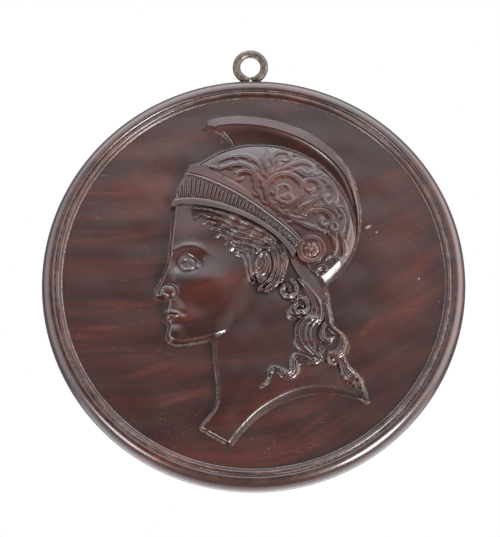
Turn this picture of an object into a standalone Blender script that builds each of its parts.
"""Carved wall roundel: a turned round board with a helmeted head in low relief and a wire hanging eye.

The board hangs upright with its face toward -Y. The origin is the centre of the hanging eye's hole.
The figure is drawn in parts: u runs right, v runs up from the centre of the disc, h stands out of the field.
"""
import math

import bpy
import numpy as np
from mathutils import Vector
from mathutils.geometry import delaunay_2d_cdt

# turned board, in metres
DISC_RADIUS = 0.100
FIELD_THICKNESS = 0.0085
TORUS_HEIGHT = 0.0105
TORUS_WIDTH = 0.0062
TORUS_SHARE = 0.87
SIDE_LOW = 0.0018
SIDE_HIGH = 0.0034
BACK_TURN_IN = 0.0030
QUIRK_WIDTH = 0.0008
QUIRK_DEPTH = 0.0007
BEAD_WIDTH = 0.0017
BEAD_HEIGHT = 0.0008
SLOPE_WIDTH = 0.0012
FIELD_RADIUS = DISC_RADIUS - TORUS_WIDTH - QUIRK_WIDTH - BEAD_WIDTH - SLOPE_WIDTH

# figure
FIGURE_SHARE = 0.91
FIGURE_REACH_PARTS = 82.0
RELIEF_HEIGHT = 0.0085
RELIEF_PARTS = 8.5
PART = FIELD_RADIUS * FIGURE_SHARE / FIGURE_REACH_PARTS
LIFT = RELIEF_HEIGHT / RELIEF_PARTS

# hanging eye
EYE_HOLE_RADIUS = 0.0048
WIRE_RADIUS = 0.0019
LEG_RADIUS = 0.00115
LEG_SPREAD = 0.0031
LEG_LENGTH = 0.0090
EYE_RISE = 0.0074
EYE_FROM_BACK = 0.0042
FIT_CLEARANCE = 0.0003

# filed ends of the wire: angle from the lowest point, shift toward the hole and thickness, in wire radii
TIP = [(0.50, 0.0, 1.0), (0.36, 0.10, 0.89), (0.24, 0.29, 0.71), (0.13, 0.53, 0.47), (0.045, 0.71, 0.26)]

# facets
RIM_FACETS = 84
WIRE_FACETS = 10
FLUTES = 38
ROSETTE_PETALS = 6

# figure outlines, in parts
DOME = [(-29.0, 56.9), (-24.5, 58.3), (-15.3, 63.2), (-6.0, 65.9), (4.0, 66.5), (14.0, 65.3), (23.5, 61.8),
        (32.0, 56.3), (39.0, 49.0), (44.5, 40.5), (48.0, 31.0), (49.3, 22.0), (47.5, 13.0), (43.0, 5.4),
        (38.3, 0.2), (33.6, -3.8)]
CREST_TOP = [(-21.6, 78.6), (-15.5, 80.3), (-5.0, 80.9), (8.6, 79.2), (21.8, 74.7), (32.5, 68.5), (40.8, 60.6),
             (46.2, 52.5), (49.4, 43.5), (50.9, 34.0), (50.6, 24.0), (48.3, 14.8)]
CREST_FRONT = [(-8.6, 65.2), (-10.9, 68.6), (-13.6, 71.6), (-17.6, 73.8), (-21.8, 74.8)]
CREST_BACK = [(48.0, 14.0), (44.0, 20.0), (36.0, 45.0), (16.0, 60.0), (-4.0, 62.0)]
BRIM_LOW = [(-39.4, 35.2), (-31.0, 35.7), (-21.2, 34.3), (-11.3, 31.4), (-1.4, 27.0), (8.6, 20.4),
            (15.0, 13.5), (18.5, 7.5)]
FLUTE_LOW = [(-38.4, 39.4), (-30.0, 39.9), (-20.0, 38.2), (-8.0, 33.9), (2.0, 28.7), (11.9, 21.4),
             (18.4, 14.8), (21.5, 10.5)]
FLUTE_TOP = [(-31.9, 51.3), (-24.5, 49.2), (-14.6, 44.5), (-4.7, 38.6), (5.2, 31.3), (15.2, 23.0),
             (20.5, 17.8), (23.0, 15.0)]
BAND_TOP = [(-29.0, 56.9), (-23.5, 55.9), (-14.6, 51.2), (-4.7, 44.4), (5.2, 35.9), (15.2, 26.6),
            (21.0, 20.6), (24.0, 17.2)]
ROSETTE_CENTRE = (27.2, 12.6)
ROSETTE_RADIUS = 7.4
ROSETTE_FLOWER = 3.9
STRAP_LEFT = [(15.6, 13.0), (17.2, 6.5), (20.2, 0.6), (24.2, -5.6), (29.4, -10.8), (35.2, -15.4)]
STRAP_RIGHT = [(35.2, -15.4), (35.0, -11.0), (34.4, -6.0), (33.4, -2.5), (30.0, 3.0), (24.0, 9.0)]
NECK_FRONT = [(-19.6, -26.0), (-19.0, -34.0), (-18.4, -42.0), (-17.6, -50.0), (-17.6, -57.0), (-20.2, -63.4),
              (-26.6, -70.6)]
BUST_FOOT = [(-11.4, -79.8), (-6.0, -72.9), (1.5, -66.0), (10.0, -60.8), (19.0, -57.0), (28.0, -55.1),
             (37.0, -55.3), (46.0, -57.3), (53.0, -59.4)]
BUST_BACK = [(49.5, -52.0), (44.0, -44.0), (40.0, -32.0), (35.0, -18.0), (20.0, 0.0), (0.0, 8.0), (-10.0, -5.0)]
NECK_CORD = [(10.0, -12.0), (2.0, -30.0), (-8.0, -48.0), (-15.0, -62.0)]

# face of plain thirds: x runs back from the forehead, y up from the chin, 22 parts to a third
FACE_FRONT = -38.2
CHIN_LEVEL = -31.0
PROFILE = [(0.9, 67.6), (0.0, 58.0), (-1.5, 46.0), (-1.6, 42.5), (-3.3, 36.5), (-5.9, 30.5), (-8.2, 26.2),
           (-8.9, 24.2), (-8.2, 22.7), (-5.6, 21.9), (-3.2, 21.4), (-2.5, 20.2), (-3.4, 17.0), (-4.5, 15.2),
           (-3.1, 13.9), (-4.0, 12.6), (-3.6, 11.2), (-2.1, 9.4), (-2.3, 7.0), (-3.0, 5.0), (-2.6, 2.6),
           (-0.8, 0.8), (2.0, 0.0), (6.0, 0.1)]
JAW = [(6.0, 0.1), (12.0, 0.9), (19.0, 2.4), (26.0, 5.6), (33.0, 11.0), (38.2, 18.0), (40.6, 25.0), (42.0, 31.0)]
HEAD_BACK = [(6.0, 6.0), (12.0, 10.0)]
BROW = [(-1.4, 42.6), (2.0, 44.4), (7.0, 46.0), (12.0, 45.4), (16.5, 42.8)]
UPPER_LID = [(4.0, 39.0), (5.4, 40.8), (7.8, 41.0), (10.6, 39.2), (13.2, 36.6)]
LOWER_LID = [(4.9, 35.6), (7.0, 34.8), (9.8, 35.2), (13.2, 36.6)]
NOSE_WING = [(-2.2, 28.4), (0.8, 27.8), (2.2, 25.2), (1.2, 22.6), (-1.0, 21.9)]
MOUTH = [(-4.2, 13.9), (-1.0, 14.2), (1.6, 13.9), (4.0, 14.2)]
UPPER_LIP = [(-4.3, 15.6), (-2.2, 16.1), (0.8, 15.4), (4.0, 14.2)]
LOWER_LIP = [(-4.0, 12.5), (-1.6, 11.8), (1.2, 12.3), (4.0, 14.2)]

# ear
EAR_CENTRE = (5.4, 3.0)
EAR_WIDTH = 5.0
EAR_LENGTH = 9.8
EAR_LEAN = 8.0

# hair: fringe under the brim, arcs behind the ear, hanging locks
FRINGE_LOCKS = 7
EAR_ARCS = 3
HAIR_EDGE = [(10.0, 14.0), (8.0, -3.5), (11.2, -4.2), (11.4, -10.5), (14.6, -17.7), (17.6, -22.9), (18.0, -29.7),
             (19.6, -33.4), (16.5, -36.8), (14.8, -40.2), (14.6, -43.5), (11.6, -43.6), (7.8, -43.4),
             (5.2, -46.3), (1.3, -51.6), (6.0, -52.4), (9.8, -49.2), (15.8, -50.2), (21.0, -46.0), (25.0, -41.4),
             (31.0, -41.6), (36.0, -43.5), (40.0, -48.0), (45.0, -53.2), (51.6, -58.0), (49.4, -50.6),
             (45.6, -45.6), (42.1, -39.8), (42.9, -35.4), (43.0, -30.9), (40.5, -27.1), (37.0, -23.6),
             (35.6, -15.7), (30.0, -8.0), (22.0, 4.0), (17.0, 12.0)]
CURLS = [((15.9, -6.6), 4.2, 60.0, 1.5), ((21.6, -14.4), 4.4, 110.0, 1.4), ((17.3, -19.2), 2.7, 60.0, 1.1),
         ((35.6, -31.4), 4.2, 150.0, 1.5), ((38.6, -37.6), 3.6, 100.0, 1.2)]
LOCKS = [[(15.6, 6.0), (18.6, -1.0), (23.0, -7.0), (28.4, -11.4), (33.0, -16.6), (34.6, -22.4), (38.8, -26.8),
          (41.2, -32.4), (40.2, -38.6)],
         [(19.4, -4.0), (24.2, -9.6), (29.6, -15.0), (31.4, -20.8), (34.8, -25.2), (39.2, -29.6)],
         [(25.0, -12.6), (28.0, -17.6), (27.2, -22.4), (30.4, -26.6), (33.4, -28.2)],
         [(24.0, -17.8), (24.4, -22.6), (27.4, -26.8), (31.4, -29.4), (32.6, -34.2), (37.2, -38.0)],
         [(20.4, -19.6), (21.2, -24.6), (24.4, -28.8), (28.8, -31.6), (29.8, -36.2), (34.8, -40.4)],
         [(19.0, -22.4), (19.4, -27.4), (22.2, -31.6), (26.0, -34.0), (26.4, -38.6), (31.0, -40.4)],
         [(24.0, -31.4), (22.4, -34.6), (17.8, -37.4), (16.4, -40.4), (19.6, -42.8), (22.6, -41.0)],
         [(28.0, -38.2), (23.6, -39.6), (20.6, -43.8), (16.4, -48.0), (12.2, -46.8), (9.0, -44.8), (7.0, -47.6),
          (5.4, -51.0), (1.6, -51.8)],
         [(38.6, -37.0), (40.2, -42.2), (43.2, -47.0), (47.4, -51.0), (49.4, -54.8), (51.2, -57.8)]]
LOCK_WIDTH = 1.55


def smooth(x):
    """Ease from 0 to 1."""
    x = np.clip(x, 0.0, 1.0)
    return x * x * (3.0 - 2.0 * x)


def rise(d, width):
    """Quarter-round shoulder: 0 at the edge, 1 at the given width inside it."""
    return np.sin(0.5 * np.pi * np.clip(d / width, 0.0, 1.0))


def swell(x, y, cx, cy, rx, ry, turn=0.0):
    """Soft hump of height 1."""
    c = math.cos(math.radians(turn))
    s = math.sin(math.radians(turn))
    p = ((x - cx) * c + (y - cy) * s) / rx
    q = ((y - cy) * c - (x - cx) * s) / ry
    return np.exp(-(p * p + q * q))


def ridge(x, y, line, width):
    """Soft raised line of height 1."""
    return np.exp(-((along(x, y, line)[0] / width) ** 2))


def curve(points, step):
    """Smooth line through the points, with even steps."""
    p = np.asarray(points, float)
    p = np.vstack([2.0 * p[0] - p[1], p, 2.0 * p[-1] - p[-2]])
    t = np.linspace(0.0, 1.0, 8, endpoint=False)[:, None]
    fine = []
    for a, b, c, d in zip(p[:-3], p[1:-2], p[2:-1], p[3:]):
        cubic = (3.0 * b - a - 3.0 * c + d) * t ** 3 + (2.0 * a - 5.0 * b + 4.0 * c - d) * t ** 2
        fine.append(0.5 * (2.0 * b + (c - a) * t + cubic))
    return even(np.vstack(fine + [p[-2:-1]]), step)


def even(line, step):
    """Same line with even steps."""
    run = np.concatenate([[0.0], np.cumsum(np.hypot(*np.diff(line, axis=0).T))])
    count = max(2, int(round(run[-1] / step)) + 1)
    at = np.linspace(0.0, run[-1], count)
    return np.column_stack([np.interp(at, run, line[:, 0]), np.interp(at, run, line[:, 1])])


def along(u, v, line):
    """Distance to a line, share of the way along it, and side (1 left, -1 right)."""
    start = line[:-1]
    leg = np.diff(line, axis=0)
    size = np.hypot(leg[:, 0], leg[:, 1])
    run = np.concatenate([[0.0], np.cumsum(size)])
    du = u[:, None] - start[:, 0]
    dv = v[:, None] - start[:, 1]
    t = np.clip((du * leg[:, 0] + dv * leg[:, 1]) / size ** 2, 0.0, 1.0)
    gap = np.hypot(du - t * leg[:, 0], dv - t * leg[:, 1])
    best = np.argmin(gap, axis=1)
    row = np.arange(len(u))
    cross = leg[best, 0] * dv[row, best] - leg[best, 1] * du[row, best]
    share = (run[best] + t[row, best] * size[best]) / run[-1]
    return gap[row, best], share, np.where(cross < 0.0, -1.0, 1.0)


def inside(u, v, ring):
    """Depth inside a closed outline, negative outside it."""
    ring = np.vstack([ring, ring[:1]])
    keep = np.append(np.hypot(*np.diff(ring, axis=0).T) > 1e-6, True)
    ring = ring[keep]
    odd = np.zeros(len(u), bool)
    for (x0, y0), (x1, y1) in zip(ring[:-1], ring[1:]):
        if y0 != y1:
            crossed = (y0 > v) != (y1 > v)
            odd ^= crossed & (u < (x1 - x0) * (v - y0) / (y1 - y0) + x0)
    gap = along(u, v, ring)[0]
    return np.where(odd, gap, -gap)


def on_face(points, step=1.6):
    """Smooth line in face measures, placed on the figure."""
    return curve(points, step) + np.array([FACE_FRONT, CHIN_LEVEL])


def between(low, high, share):
    """Points part of the way from one row of points to another."""
    return [(a[0] + (c[0] - a[0]) * share, a[1] + (c[1] - a[1]) * share) for a, c in zip(low, high)]


BRIM_LINE = curve(BRIM_LOW, 2.8)
FLUTE_LINE = curve(FLUTE_LOW, 1.7)
FLUTE_END = curve(FLUTE_TOP, 1.7)
BAND_LINE = curve(BAND_TOP, 2.8)
UNDER_BRIM = curve(between(BRIM_LOW, FLUTE_LOW, 0.6), 4.0)
UNDER_BAND = curve(between(FLUTE_TOP, BAND_TOP, 0.5), 4.0)
HEAD_RING = np.vstack([on_face(PROFILE, 1.2), on_face(JAW, 2.6)[1:], HEAD_BACK, UNDER_BRIM[:0:-1]])
BUST_RING = np.vstack([curve(NECK_FRONT, 3.0), curve(BUST_FOOT, 3.0), BUST_BACK])
DOME_LINE = curve(DOME, 3.2)
TOP_LINE = curve(CREST_TOP, 3.2)
CREST_RING = np.vstack([TOP_LINE, CREST_BACK, curve(CREST_FRONT, 2.2)])
DOME_RING = np.vstack([DOME_LINE, [(26.0, 3.0), (21.0, 11.0)], UNDER_BAND[::-1]])
BAND_RING = np.vstack([BRIM_LINE, BAND_LINE[::-1]])
STRAP_RING = np.vstack([curve(STRAP_LEFT, 2.6), curve(STRAP_RIGHT, 2.6)[1:]])
HAIR_RING = curve(HAIR_EDGE + HAIR_EDGE[:1], 2.4)[:-1]


def fringe_lock(index):
    """Wavy lock that runs back below the brim from the hairline to the ear."""
    depth = 1.2 + 2.4 * index
    first = 0.15 + 0.009 * depth + 0.0006 * depth ** 2
    s = np.linspace(first, 0.97, 20)
    run = np.linspace(0.0, 1.0, len(BRIM_LINE))
    place = np.column_stack([np.interp(s, run, BRIM_LINE[:, 0]), np.interp(s, run, BRIM_LINE[:, 1])])
    way = np.gradient(place, axis=0)
    way /= np.hypot(way[:, 0], way[:, 1])[:, None]
    offset = depth * (1.0 - 0.45 * smooth((s - 0.6) / 0.35)) + 0.5 * np.sin(2.0 * np.pi * (8.0 * s + 0.37 * index))
    offset += 1.2 * (1.0 - smooth((s - first) / 0.05))
    return even(place + np.column_stack([way[:, 1], -way[:, 0]]) * offset[:, None], 2.3)


def ear_arc(index):
    """Lock that passes over the ear and turns forward under the lobe."""
    a = np.radians(np.linspace(120.0, -75.0, 10))
    return np.column_stack([6.3 + (6.0 + 2.2 * index) * np.cos(a), 3.8 + (9.6 + 1.7 * index) * np.sin(a)])


def curl_line(centre, radius, start, turns):
    """Spiral that winds into the middle of a curl."""
    t = np.linspace(0.0, 1.0, int(9 * turns) + 1)
    a = np.radians(start) - 2.0 * np.pi * turns * t
    r = radius * (1.0 - 0.78 * t)
    return np.column_stack([centre[0] + r * np.cos(a), centre[1] + r * np.sin(a)])


def hair_locks():
    """Every lock: its middle line, its half width at start and end, its height."""
    locks = [(fringe_lock(i), 1.15, 1.1, 5.0 + 0.05 * i, 6.4) for i in range(FRINGE_LOCKS)]
    locks += [(ear_arc(i), 1.1, 1.0, 6.6 - 0.2 * i, 5.8) for i in range(EAR_ARCS)]
    locks += [(curve(points, 2.3), LOCK_WIDTH, 0.7, 5.9, 4.6) for points in LOCKS]
    locks += [(curl_line(*curl), 1.15, 0.8, 6.0, 6.4) for curl in CURLS]
    return locks


HAIR = hair_locks()


def bust_height(u, v):
    """Neck and the slanting cut of the bust."""
    d = inside(u, v, BUST_RING)
    form = 4.7 * np.sqrt(np.clip(1.0 - ((u - 10.0) / 44.0) ** 2, 0.3, 1.0))
    form = form * (1.0 - 0.26 * smooth((-46.0 - v) / 26.0))
    form = form + 0.45 * ridge(u, v, np.asarray(NECK_CORD), 4.5)
    cut = 0.85 * along(u, v, curve(BUST_FOOT, 3.0))[0]
    return np.where(d > 0.0, np.minimum(form * rise(d, 1.3), cut), 0.0)


def face_height(u, v):
    """Bare head, from broad planes to lids and lips."""
    x = u - FACE_FRONT
    y = v - CHIN_LEVEL
    d = inside(u, v, HEAD_RING)
    form = 6.7 * np.sqrt(np.clip(1.0 - (np.clip(30.0 - x, 0.0, None) / 42.0) ** 2, 0.05, 1.0))
    form = form * np.sqrt(np.clip(1.0 - ((y - 36.0) / 62.0) ** 2, 0.2, 1.0))
    form += 0.9 * swell(x, y, 15.0, 30.5, 9.0, 6.5, -15.0) - 0.55 * swell(x, y, 13.0, 19.0, 7.0, 6.0)
    form += 0.5 * swell(x, y, 32.0, 14.0, 7.0, 5.0, 40.0) + 0.85 * swell(x, y, 0.8, 4.6, 4.0, 3.8)
    form += 0.5 * swell(x, y, 3.0, 13.6, 6.0, 5.5) - 0.55 * swell(x, y, -0.6, 9.5, 4.0, 1.5)
    brow = curve(BROW, 1.6)
    gap, share, side = along(x, y, brow)
    form += 0.55 * np.exp(-(((gap * side - 0.6) / 1.5) ** 2)) * smooth(share * 6.0) * smooth((1.0 - share) * 4.0)
    form -= 1.7 * swell(x, y, 7.0, 38.6, 7.6, 4.9, -10.0) * smooth(0.5 - gap * side / 2.4)
    form -= 0.8 * swell(x, y, 2.0, 38.6, 2.4, 4.2, 18.0)
    ball = np.sqrt(np.clip(1.0 - ((x - 8.4) / 5.0) ** 2 - ((y - 37.8) / 3.8) ** 2, 0.0, 1.0))
    form += 1.4 * ball + 0.5 * ridge(x, y, curve(UPPER_LID, 1.0), 0.7) + 0.35 * ridge(x, y, curve(LOWER_LID, 1.0), 0.6)
    wing = np.sqrt(np.clip(1.0 - ((x + 1.8) / 3.4) ** 2 - ((y - 25.1) / 3.0) ** 2, 0.0, 1.0))
    form += 1.1 * wing - 0.5 * ridge(x, y, curve(NOSE_WING, 1.2), 0.8)
    slit = curve(MOUTH, 1.2)
    upper = inside(x, y, np.vstack([slit, curve(UPPER_LIP, 1.2)[::-1]]))
    lower = inside(x, y, np.vstack([slit, curve(LOWER_LIP, 1.2)[::-1]]))
    form += 0.75 * rise(upper + 0.35, 1.3) + 0.85 * rise(lower + 0.35, 1.5) - 0.7 * ridge(x, y, slit, 0.45)
    wide = 1.2 + 5.0 * smooth((x - 12.0) / 16.0) * smooth((34.0 - y) / 12.0)
    return np.where(d > 0.0, form * rise(d, wide), 0.0)


def crest_height(u, v):
    """Crest: a lit top facet, a ridge, and a hollow down to the dome."""
    d = inside(u, v, CREST_RING)
    gap, share, _ = along(u, v, TOP_LINE)
    width = 0.5 + 3.4 * smooth((1.04 - share) / 0.5)
    outer = 1.6 + 2.6 * rise(gap, width)
    inner = 4.2 - 2.5 * smooth((gap - width) / (11.5 * (1.02 - share) ** 0.8 + 1.2))
    form = np.where(gap < width, outer, inner) * (0.55 + 0.45 * smooth((1.0 - share) * 6.0))
    return np.where(d > 0.0, form * rise(d, 0.9), 0.0)


def dome_height(u, v):
    """Bowl of the helmet."""
    d = inside(u, v, DOME_RING)
    gap = along(u, v, DOME_LINE)[0]
    form = 2.1 + 6.0 * np.sqrt(np.clip(1.0 - (np.clip(30.0 - gap, 0.0, None) / 30.0) ** 2, 0.0, 1.0))
    form = form * (0.62 + 0.38 * smooth((u + 34.0) / 40.0))
    return np.where(d > 0.0, form * rise(d, 0.9), 0.0)


def band_height(u, v):
    """Brim, row of flutes and plain band above them."""
    brim = inside(u, v, np.vstack([BRIM_LINE, FLUTE_LINE[::-1]]))
    plain = inside(u, v, np.vstack([FLUTE_END, BAND_LINE[::-1]]))
    ground = 2.6 + 4.9 * rise(u + 39.0, 46.0)
    wave = np.abs(np.sin(np.pi * FLUTES * along(u, v, FLUTE_LINE)[1]))
    form = ground + 0.55 * (wave ** 0.6 - 0.4)
    form = np.maximum(form, np.where(brim > 0.0, ground + 0.9 * rise(brim, 0.7), 0.0))
    form = np.maximum(form, np.where(plain > 0.0, ground + 1.1 * rise(plain, 0.8), 0.0))
    return form * rise(inside(u, v, BAND_RING), 0.6)


def rosette_height(u, v):
    """Ringed flower at the side of the helmet."""
    r = np.hypot(u - ROSETTE_CENTRE[0], v - ROSETTE_CENTRE[1])
    a = np.arctan2(v - ROSETTE_CENTRE[1], u - ROSETTE_CENTRE[0])
    ring_mid = 0.5 * (ROSETTE_RADIUS + ROSETTE_FLOWER + 0.2)
    ring = 1.2 * np.sqrt(np.clip(1.0 - ((r - ring_mid) / (ROSETTE_RADIUS - ring_mid)) ** 2, 0.0, 1.0))
    petal = 0.45 + 0.55 * np.abs(np.cos(0.5 * ROSETTE_PETALS * a)) ** 0.7
    flower = 1.6 * petal * np.sqrt(np.clip(1.0 - (r / ROSETTE_FLOWER) ** 2, 0.0, 1.0))
    h = 6.9 + np.maximum(ring, flower)
    return np.where(r < ROSETTE_RADIUS, h * rise(ROSETTE_RADIUS - r, 0.9), 0.0)


def strap_height(u, v):
    """Plain pointed neck guard."""
    d = inside(u, v, STRAP_RING)
    gap = along(u, v, curve(STRAP_LEFT, 2.2))[0]
    form = 6.9 - 1.1 * smooth(gap / 5.0) - 1.6 * smooth((-2.0 - v) / 14.0)
    return np.where(d > 0.0, form * rise(d, 0.8), 0.0)


def ear_place(u, v):
    """Across, up and share of the radius in the ear's own leaning frame."""
    c = math.cos(math.radians(EAR_LEAN))
    s = math.sin(math.radians(EAR_LEAN))
    p = (u - EAR_CENTRE[0]) * c - (v - EAR_CENTRE[1]) * s
    q = (u - EAR_CENTRE[0]) * s + (v - EAR_CENTRE[1]) * c
    wide = EAR_WIDTH * (1.0 - 0.28 * smooth(-q / EAR_LENGTH))
    return p, q, np.hypot(p / wide, q / EAR_LENGTH)


def ear_height(u, v):
    """Ear with rolled rim, inner fold, bowl and lobe."""
    p, q, r = ear_place(u, v)
    rim = 1.1 * np.exp(-(((r - 0.8) / 0.2) ** 2)) * smooth((q + 5.5 + 1.5 * p) / 3.0)
    fold = 0.6 * swell(p, q, 1.0, 1.0, 0.9, 3.4)
    bowl = 1.0 * swell(p, q, -1.1, -0.4, 1.5, 3.2)
    form = 6.8 + rim + fold - bowl + 0.9 * swell(p, q, -1.0, -6.0, 2.0, 2.2)
    return np.where(r < 1.0, form * rise(1.0 - r, 0.12), 0.0)


def hair_height(u, v):
    """Mass of hair with its locks standing on it."""
    d = inside(u, v, HAIR_RING)
    low = 5.6 - 1.9 * smooth((-38.0 - v) / 14.0)
    h = np.where(d > 0.0, low * rise(d, 1.4), 0.0)
    for line, first, last, base, end in HAIR:
        gap, share, _ = along(u, v, line)
        half = (first + (last - first) * share) * (0.35 + 0.65 * smooth((1.0 - share) * 5.0))
        q = np.clip(gap / half, 0.0, 1.0)
        form = base + (end - base) * share + 1.0 * np.sqrt(1.0 - q ** 2)
        h = np.maximum(h, np.where(gap < half, form * rise(1.0 - q, 0.2), 0.0))
    return h


def relief_height(u, v):
    """Height of the whole figure over the field."""
    h = np.maximum(bust_height(u, v), face_height(u, v))
    for shape in (crest_height, dome_height, strap_height, hair_height, ear_height, band_height,
                  rosette_height):
        h = np.maximum(h, shape(u, v))
    return h


def shifted(line, by, closed):
    """Line moved to its left by a distance."""
    if closed:
        way = np.roll(line, -1, axis=0) - np.roll(line, 1, axis=0)
    else:
        way = np.gradient(line, axis=0)
    way /= np.maximum(np.hypot(way[:, 0], way[:, 1]), 1e-9)[:, None]
    return line + by * np.column_stack([-way[:, 1], way[:, 0]])


def ellipse(centre, wide, tall, count, turn=0.0):
    """Closed ring of points."""
    a = np.linspace(0.0, 2.0 * np.pi, count, endpoint=False)
    c = math.cos(math.radians(turn))
    s = math.sin(math.radians(turn))
    x = wide * np.cos(a)
    y = tall * np.sin(a)
    return np.column_stack([centre[0] + x * c - y * s, centre[1] + x * s + y * c])


def carving_lines():
    """Lines that the facets of the relief follow: feet, shoulders, ridges and valleys."""
    face = [on_face(points, 1.7) for points in (BROW, UPPER_LID, LOWER_LID, NOSE_WING, MOUTH, UPPER_LIP, LOWER_LIP)]
    foot = curve(BUST_FOOT, 3.0)
    profile = on_face(PROFILE, 1.2)
    jaw = on_face(JAW, 2.6)
    neck = curve(NECK_FRONT, 3.0)
    front = curve(CREST_FRONT, 2.2)
    strap = curve(STRAP_LEFT, 2.6)
    lines = [profile, shifted(profile, 1.1, False), jaw, shifted(jaw, 1.3, False), neck, shifted(neck, 1.2, False),
             foot, shifted(foot, 3.6, False), shifted(foot, -0.5, False), DOME_LINE, shifted(DOME_LINE, -0.9, False), TOP_LINE,
             shifted(TOP_LINE, -0.9, False), shifted(TOP_LINE, -3.6, False), front, shifted(front, -0.9, False),
             BRIM_LINE, shifted(BRIM_LINE, 0.7, False), FLUTE_LINE, shifted(FLUTE_LINE, -0.6, False),
             FLUTE_END, shifted(FLUTE_END, 0.7, False), BAND_LINE, shifted(BAND_LINE, -0.7, False),
             strap, shifted(strap, 0.8, False), curve(STRAP_RIGHT, 2.6), np.array([BUST_FOOT[0], NECK_FRONT[-1]])]
    lines += face
    for line, first, last, _, _ in HAIR:
        lines.append(line)
        for side in (-1.0, 1.0):
            half = np.linspace(first, last, len(line))[:, None]
            lines.append(line + (shifted(line, side, False) - line) * half * 1.02)
    rings = [HAIR_RING, ellipse(ROSETTE_CENTRE, ROSETTE_RADIUS, ROSETTE_RADIUS, 24)]
    rings += [ellipse(ROSETTE_CENTRE, r, r, 20) for r in (6.5, 5.6, 4.3, 3.4)]
    rings += [ellipse(ROSETTE_CENTRE, 2.2, 2.2, 2 * ROSETTE_PETALS)]
    rings += [ellipse(EAR_CENTRE, EAR_WIDTH * k, EAR_LENGTH * k, 18, -EAR_LEAN) for k in (1.0, 0.84, 0.6)]
    for ring in rings:
        lines.append(np.vstack([ring, ring[:1]]))
    return lines


def flute_lines():
    """Alternate crest and valley lines across the fluted band."""
    base = even(FLUTE_LINE, 0.25)
    run = np.linspace(0.0, 1.0, len(base))
    way = np.gradient(base, axis=0)
    way /= np.hypot(way[:, 0], way[:, 1])[:, None]
    lines = []
    for k in range(1, 2 * FLUTES):
        s = k / (2.0 * FLUTES)
        p = np.array([np.interp(s, run, base[:, 0]), np.interp(s, run, base[:, 1])])
        n = np.array([-np.interp(s, run, way[:, 1]), np.interp(s, run, way[:, 0])])
        reach = np.linspace(0.2, 14.0, 80)
        depth = inside(p[0] + n[0] * reach, p[1] + n[1] * reach, np.vstack([FLUTE_LINE, FLUTE_END[::-1]]))
        clear = reach[depth > 0.1]
        if len(clear) > 4:
            lines.append(np.array([p + n * clear[0], p + n * clear[-1]]))
    return lines


def relief_plan():
    """Points and facets of the field and figure, in parts."""
    a = np.linspace(0.0, 2.0 * np.pi, RIM_FACETS, endpoint=False)
    edge = np.column_stack([np.cos(a), np.sin(a)]) * FIELD_RADIUS / PART
    points = [edge]
    count = RIM_FACETS
    edges = [(i, (i + 1) % RIM_FACETS) for i in range(RIM_FACETS)]
    lines = carving_lines() + flute_lines()
    for line in lines:
        points.append(line)
        edges += [(count + i, count + i + 1) for i in range(len(line) - 1)]
        count += len(line)
    drawn = np.vstack(points)
    gu, gv = np.meshgrid(np.arange(-46.0, 54.0, 3.8), np.arange(-78.0, 82.0, 3.3))
    gu = gu + 1.9 * (np.arange(gu.shape[0]) % 2)[:, None]
    gu = gu.ravel()
    gv = gv.ravel()
    gap = np.min(np.hypot(gu[:, None] - drawn[:, 0], gv[:, None] - drawn[:, 1]), axis=1)
    keep = (gap > 1.4) & (relief_height(gu, gv) > 0.2)
    allpoints = np.vstack([drawn, np.column_stack([gu[keep], gv[keep]])])
    flat = [Vector((float(p[0]), float(p[1]))) for p in allpoints]
    verts, _, faces, _, _, _ = delaunay_2d_cdt(flat, edges, [], 0, 0.12)
    plan = np.array([(p.x, p.y) for p in verts])
    return plan, [tuple(f) for f in faces]


def rim_profile():
    """Radius and height over the back, from the foot of the inner slope outward and round to the back."""
    quirk_out = DISC_RADIUS - TORUS_WIDTH
    quirk_in = quirk_out - QUIRK_WIDTH
    bead_mid = quirk_in - 0.5 * BEAD_WIDTH
    base = TORUS_HEIGHT - QUIRK_DEPTH
    line = []
    for k in range(5):
        a = math.pi * (1.0 - k / 4.0)
        line.append((bead_mid + 0.5 * BEAD_WIDTH * math.cos(a), base + BEAD_HEIGHT * math.sin(a)))
    line.append((quirk_out, base))
    torus_mid = DISC_RADIUS - TORUS_SHARE * TORUS_WIDTH
    for k in range(6):
        a = 0.5 * math.pi * (1.0 - k / 5.0)
        r = torus_mid + TORUS_SHARE * TORUS_WIDTH * math.cos(a)
        line.append((r, SIDE_HIGH + (TORUS_HEIGHT - SIDE_HIGH) * math.sin(a)))
    line.append((DISC_RADIUS, SIDE_LOW))
    line.append((DISC_RADIUS - 0.35 * BACK_TURN_IN, 0.25 * SIDE_LOW))
    line.append((DISC_RADIUS - BACK_TURN_IN, 0.0))
    return line


def place(u, v, height):
    """World place of a point on the board: u and v in metres from its centre, height over its back."""
    return (u, EYE_FROM_BACK - height, v - DISC_RADIUS - EYE_RISE)


def make_object(name, verts, faces, colour, roughness, metallic, material):
    """Mesh object with its own plain finish."""
    mesh = bpy.data.meshes.new(name)
    mesh.from_pydata(verts, [], faces)
    mesh.validate()
    finish = bpy.data.materials.new(material)
    finish.use_nodes = True
    shader = finish.node_tree.nodes["Principled BSDF"]
    shader.inputs["Base Color"].default_value = (*colour, 1.0)
    shader.inputs["Roughness"].default_value = roughness
    shader.inputs["Metallic"].default_value = metallic
    mesh.materials.append(finish)
    mesh.shade_smooth()
    mesh.set_sharp_from_angle(angle=math.radians(35.0))
    obj = bpy.data.objects.new(name, mesh)
    bpy.context.scene.collection.objects.link(obj)
    return obj


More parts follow.
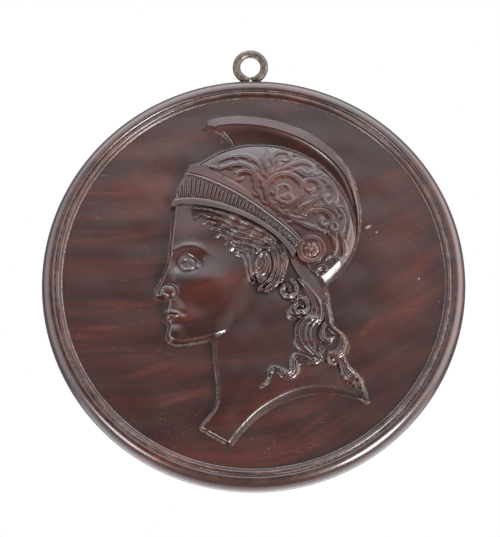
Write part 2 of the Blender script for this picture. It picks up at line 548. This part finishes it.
def tube(path, radii, facets):
    """Round bar along a path in the plane of the eye, closed at both ends."""
    path = np.asarray(path)
    way = np.gradient(path, axis=0)
    way /= np.hypot(way[:, 0], way[:, 1])[:, None]
    verts = []
    faces = []
    for p, w, r in zip(path, way, radii):
        for k in range(facets):
            a = 2.0 * math.pi * k / facets
            across = r * math.cos(a)
            verts.append((p[0] - w[1] * across, r * math.sin(a), p[1] + w[0] * across))
    for i in range(len(path) - 1):
        for k in range(facets):
            j = (k + 1) % facets
            low = i * facets
            faces.append((low + k, low + facets + k, low + facets + j, low + j))
    faces.append(tuple(range(facets)))
    last = (len(path) - 1) * facets
    faces.append(tuple(range(last, last + facets))[::-1])
    return verts, faces


def build_board():
    """Round board, turned rim and carved relief in one solid, with the seat of the eye cut in its edge."""
    plan, facets = relief_plan()
    h = relief_height(plan[:, 0], plan[:, 1])
    far = np.hypot(plan[:, 0], plan[:, 1]) > FIELD_RADIUS / PART - 0.05
    h[far] = 0.0
    verts = [place(p[0] * PART, p[1] * PART, FIELD_THICKNESS + q * LIFT) for p, q in zip(plan, h)]
    faces = [tuple(f) for f in facets]
    angle = np.arctan2(plan[:, 1], plan[:, 0])
    rim = np.nonzero(far)[0]
    previous = [int(i) for i in rim[np.argsort(np.mod(angle[rim] + 1e-6, 2.0 * np.pi))]]
    for r, height in rim_profile():
        ring = []
        for k in range(RIM_FACETS):
            a = 2.0 * math.pi * k / RIM_FACETS
            ring.append(len(verts))
            verts.append(place(r * math.cos(a), r * math.sin(a), height))
        for k in range(RIM_FACETS):
            j = (k + 1) % RIM_FACETS
            faces.append((previous[k], ring[k], ring[j], previous[j]))
        previous = ring
    faces.append(tuple(previous[::-1]))
    board = make_object("roundel", verts, faces, (0.09, 0.03, 0.018), 0.28, 0.0, "waxed_mahogany")
    cut_seat(board)
    return board


def apply_solid(body, operation, tool):
    """Join or cut the body with a tool solid and remove the tool."""
    tool.hide_render = True
    tool.display_type = "WIRE"
    step = body.modifiers.new("solid", "BOOLEAN")
    step.operation = operation
    step.solver = "EXACT"
    step.object = tool
    bpy.context.view_layer.objects.active = body
    bpy.ops.object.modifier_apply(modifier=step.name)
    bpy.data.objects.remove(tool, do_unlink=True)


def upright_pin(x, radius, top, low, facets):
    """Upright round pin on the middle plane of the eye."""
    bpy.ops.mesh.primitive_cylinder_add(vertices=facets, radius=radius, depth=top - low,
                                        location=(x, 0.0, 0.5 * (top + low)))
    return bpy.context.object


def cut_seat(board):
    """Groove for the lower arc of the eye and two drilled holes for its legs."""
    bpy.ops.mesh.primitive_torus_add(
        major_radius=EYE_HOLE_RADIUS + WIRE_RADIUS, minor_radius=WIRE_RADIUS + FIT_CLEARANCE,
        major_segments=40, minor_segments=16, rotation=(math.pi / 2.0, 0.0, 0.0))
    apply_solid(board, "DIFFERENCE", bpy.context.object)
    for side in (-1.0, 1.0):
        drill = upright_pin(side * LEG_SPREAD, LEG_RADIUS + FIT_CLEARANCE, -EYE_HOLE_RADIUS,
                            -EYE_RISE - LEG_LENGTH - FIT_CLEARANCE, 20)
        apply_solid(board, "DIFFERENCE", drill)


def build_eye():
    """Wire ring whose filed ends all but meet over the edge, on two legs let into the board."""
    ring = EYE_HOLE_RADIUS + WIRE_RADIUS
    half = []
    for k in range(14):
        half.append((math.pi - (math.pi - TIP[0][0]) * k / 13.0, ring, WIRE_RADIUS))
    for angle, shift, share in TIP[1:]:
        half.append((angle, ring - shift * WIRE_RADIUS, share * WIRE_RADIUS))
    right = [(r * math.sin(a), -r * math.cos(a), wire) for a, r, wire in half]
    left = [(-p[0], p[1], p[2]) for p in right[::-1]]
    whole = left + right[1:]
    verts, faces = tube([(p[0], p[1]) for p in whole], [p[2] for p in whole], WIRE_FACETS)
    eye = make_object("hanging_eye", verts, faces, (0.11, 0.085, 0.07), 0.42, 1.0, "dark_wire")
    for side in (-1.0, 1.0):
        leg = upright_pin(side * LEG_SPREAD, LEG_RADIUS, -ring + 0.4 * WIRE_RADIUS, -EYE_RISE - LEG_LENGTH,
                          WIRE_FACETS)
        apply_solid(eye, "UNION", leg)
    return eye


def main():
    """Clear the scene and build both pieces."""
    for obj in list(bpy.data.objects):
        bpy.data.objects.remove(obj, do_unlink=True)
    build_board()
    build_eye()


main()
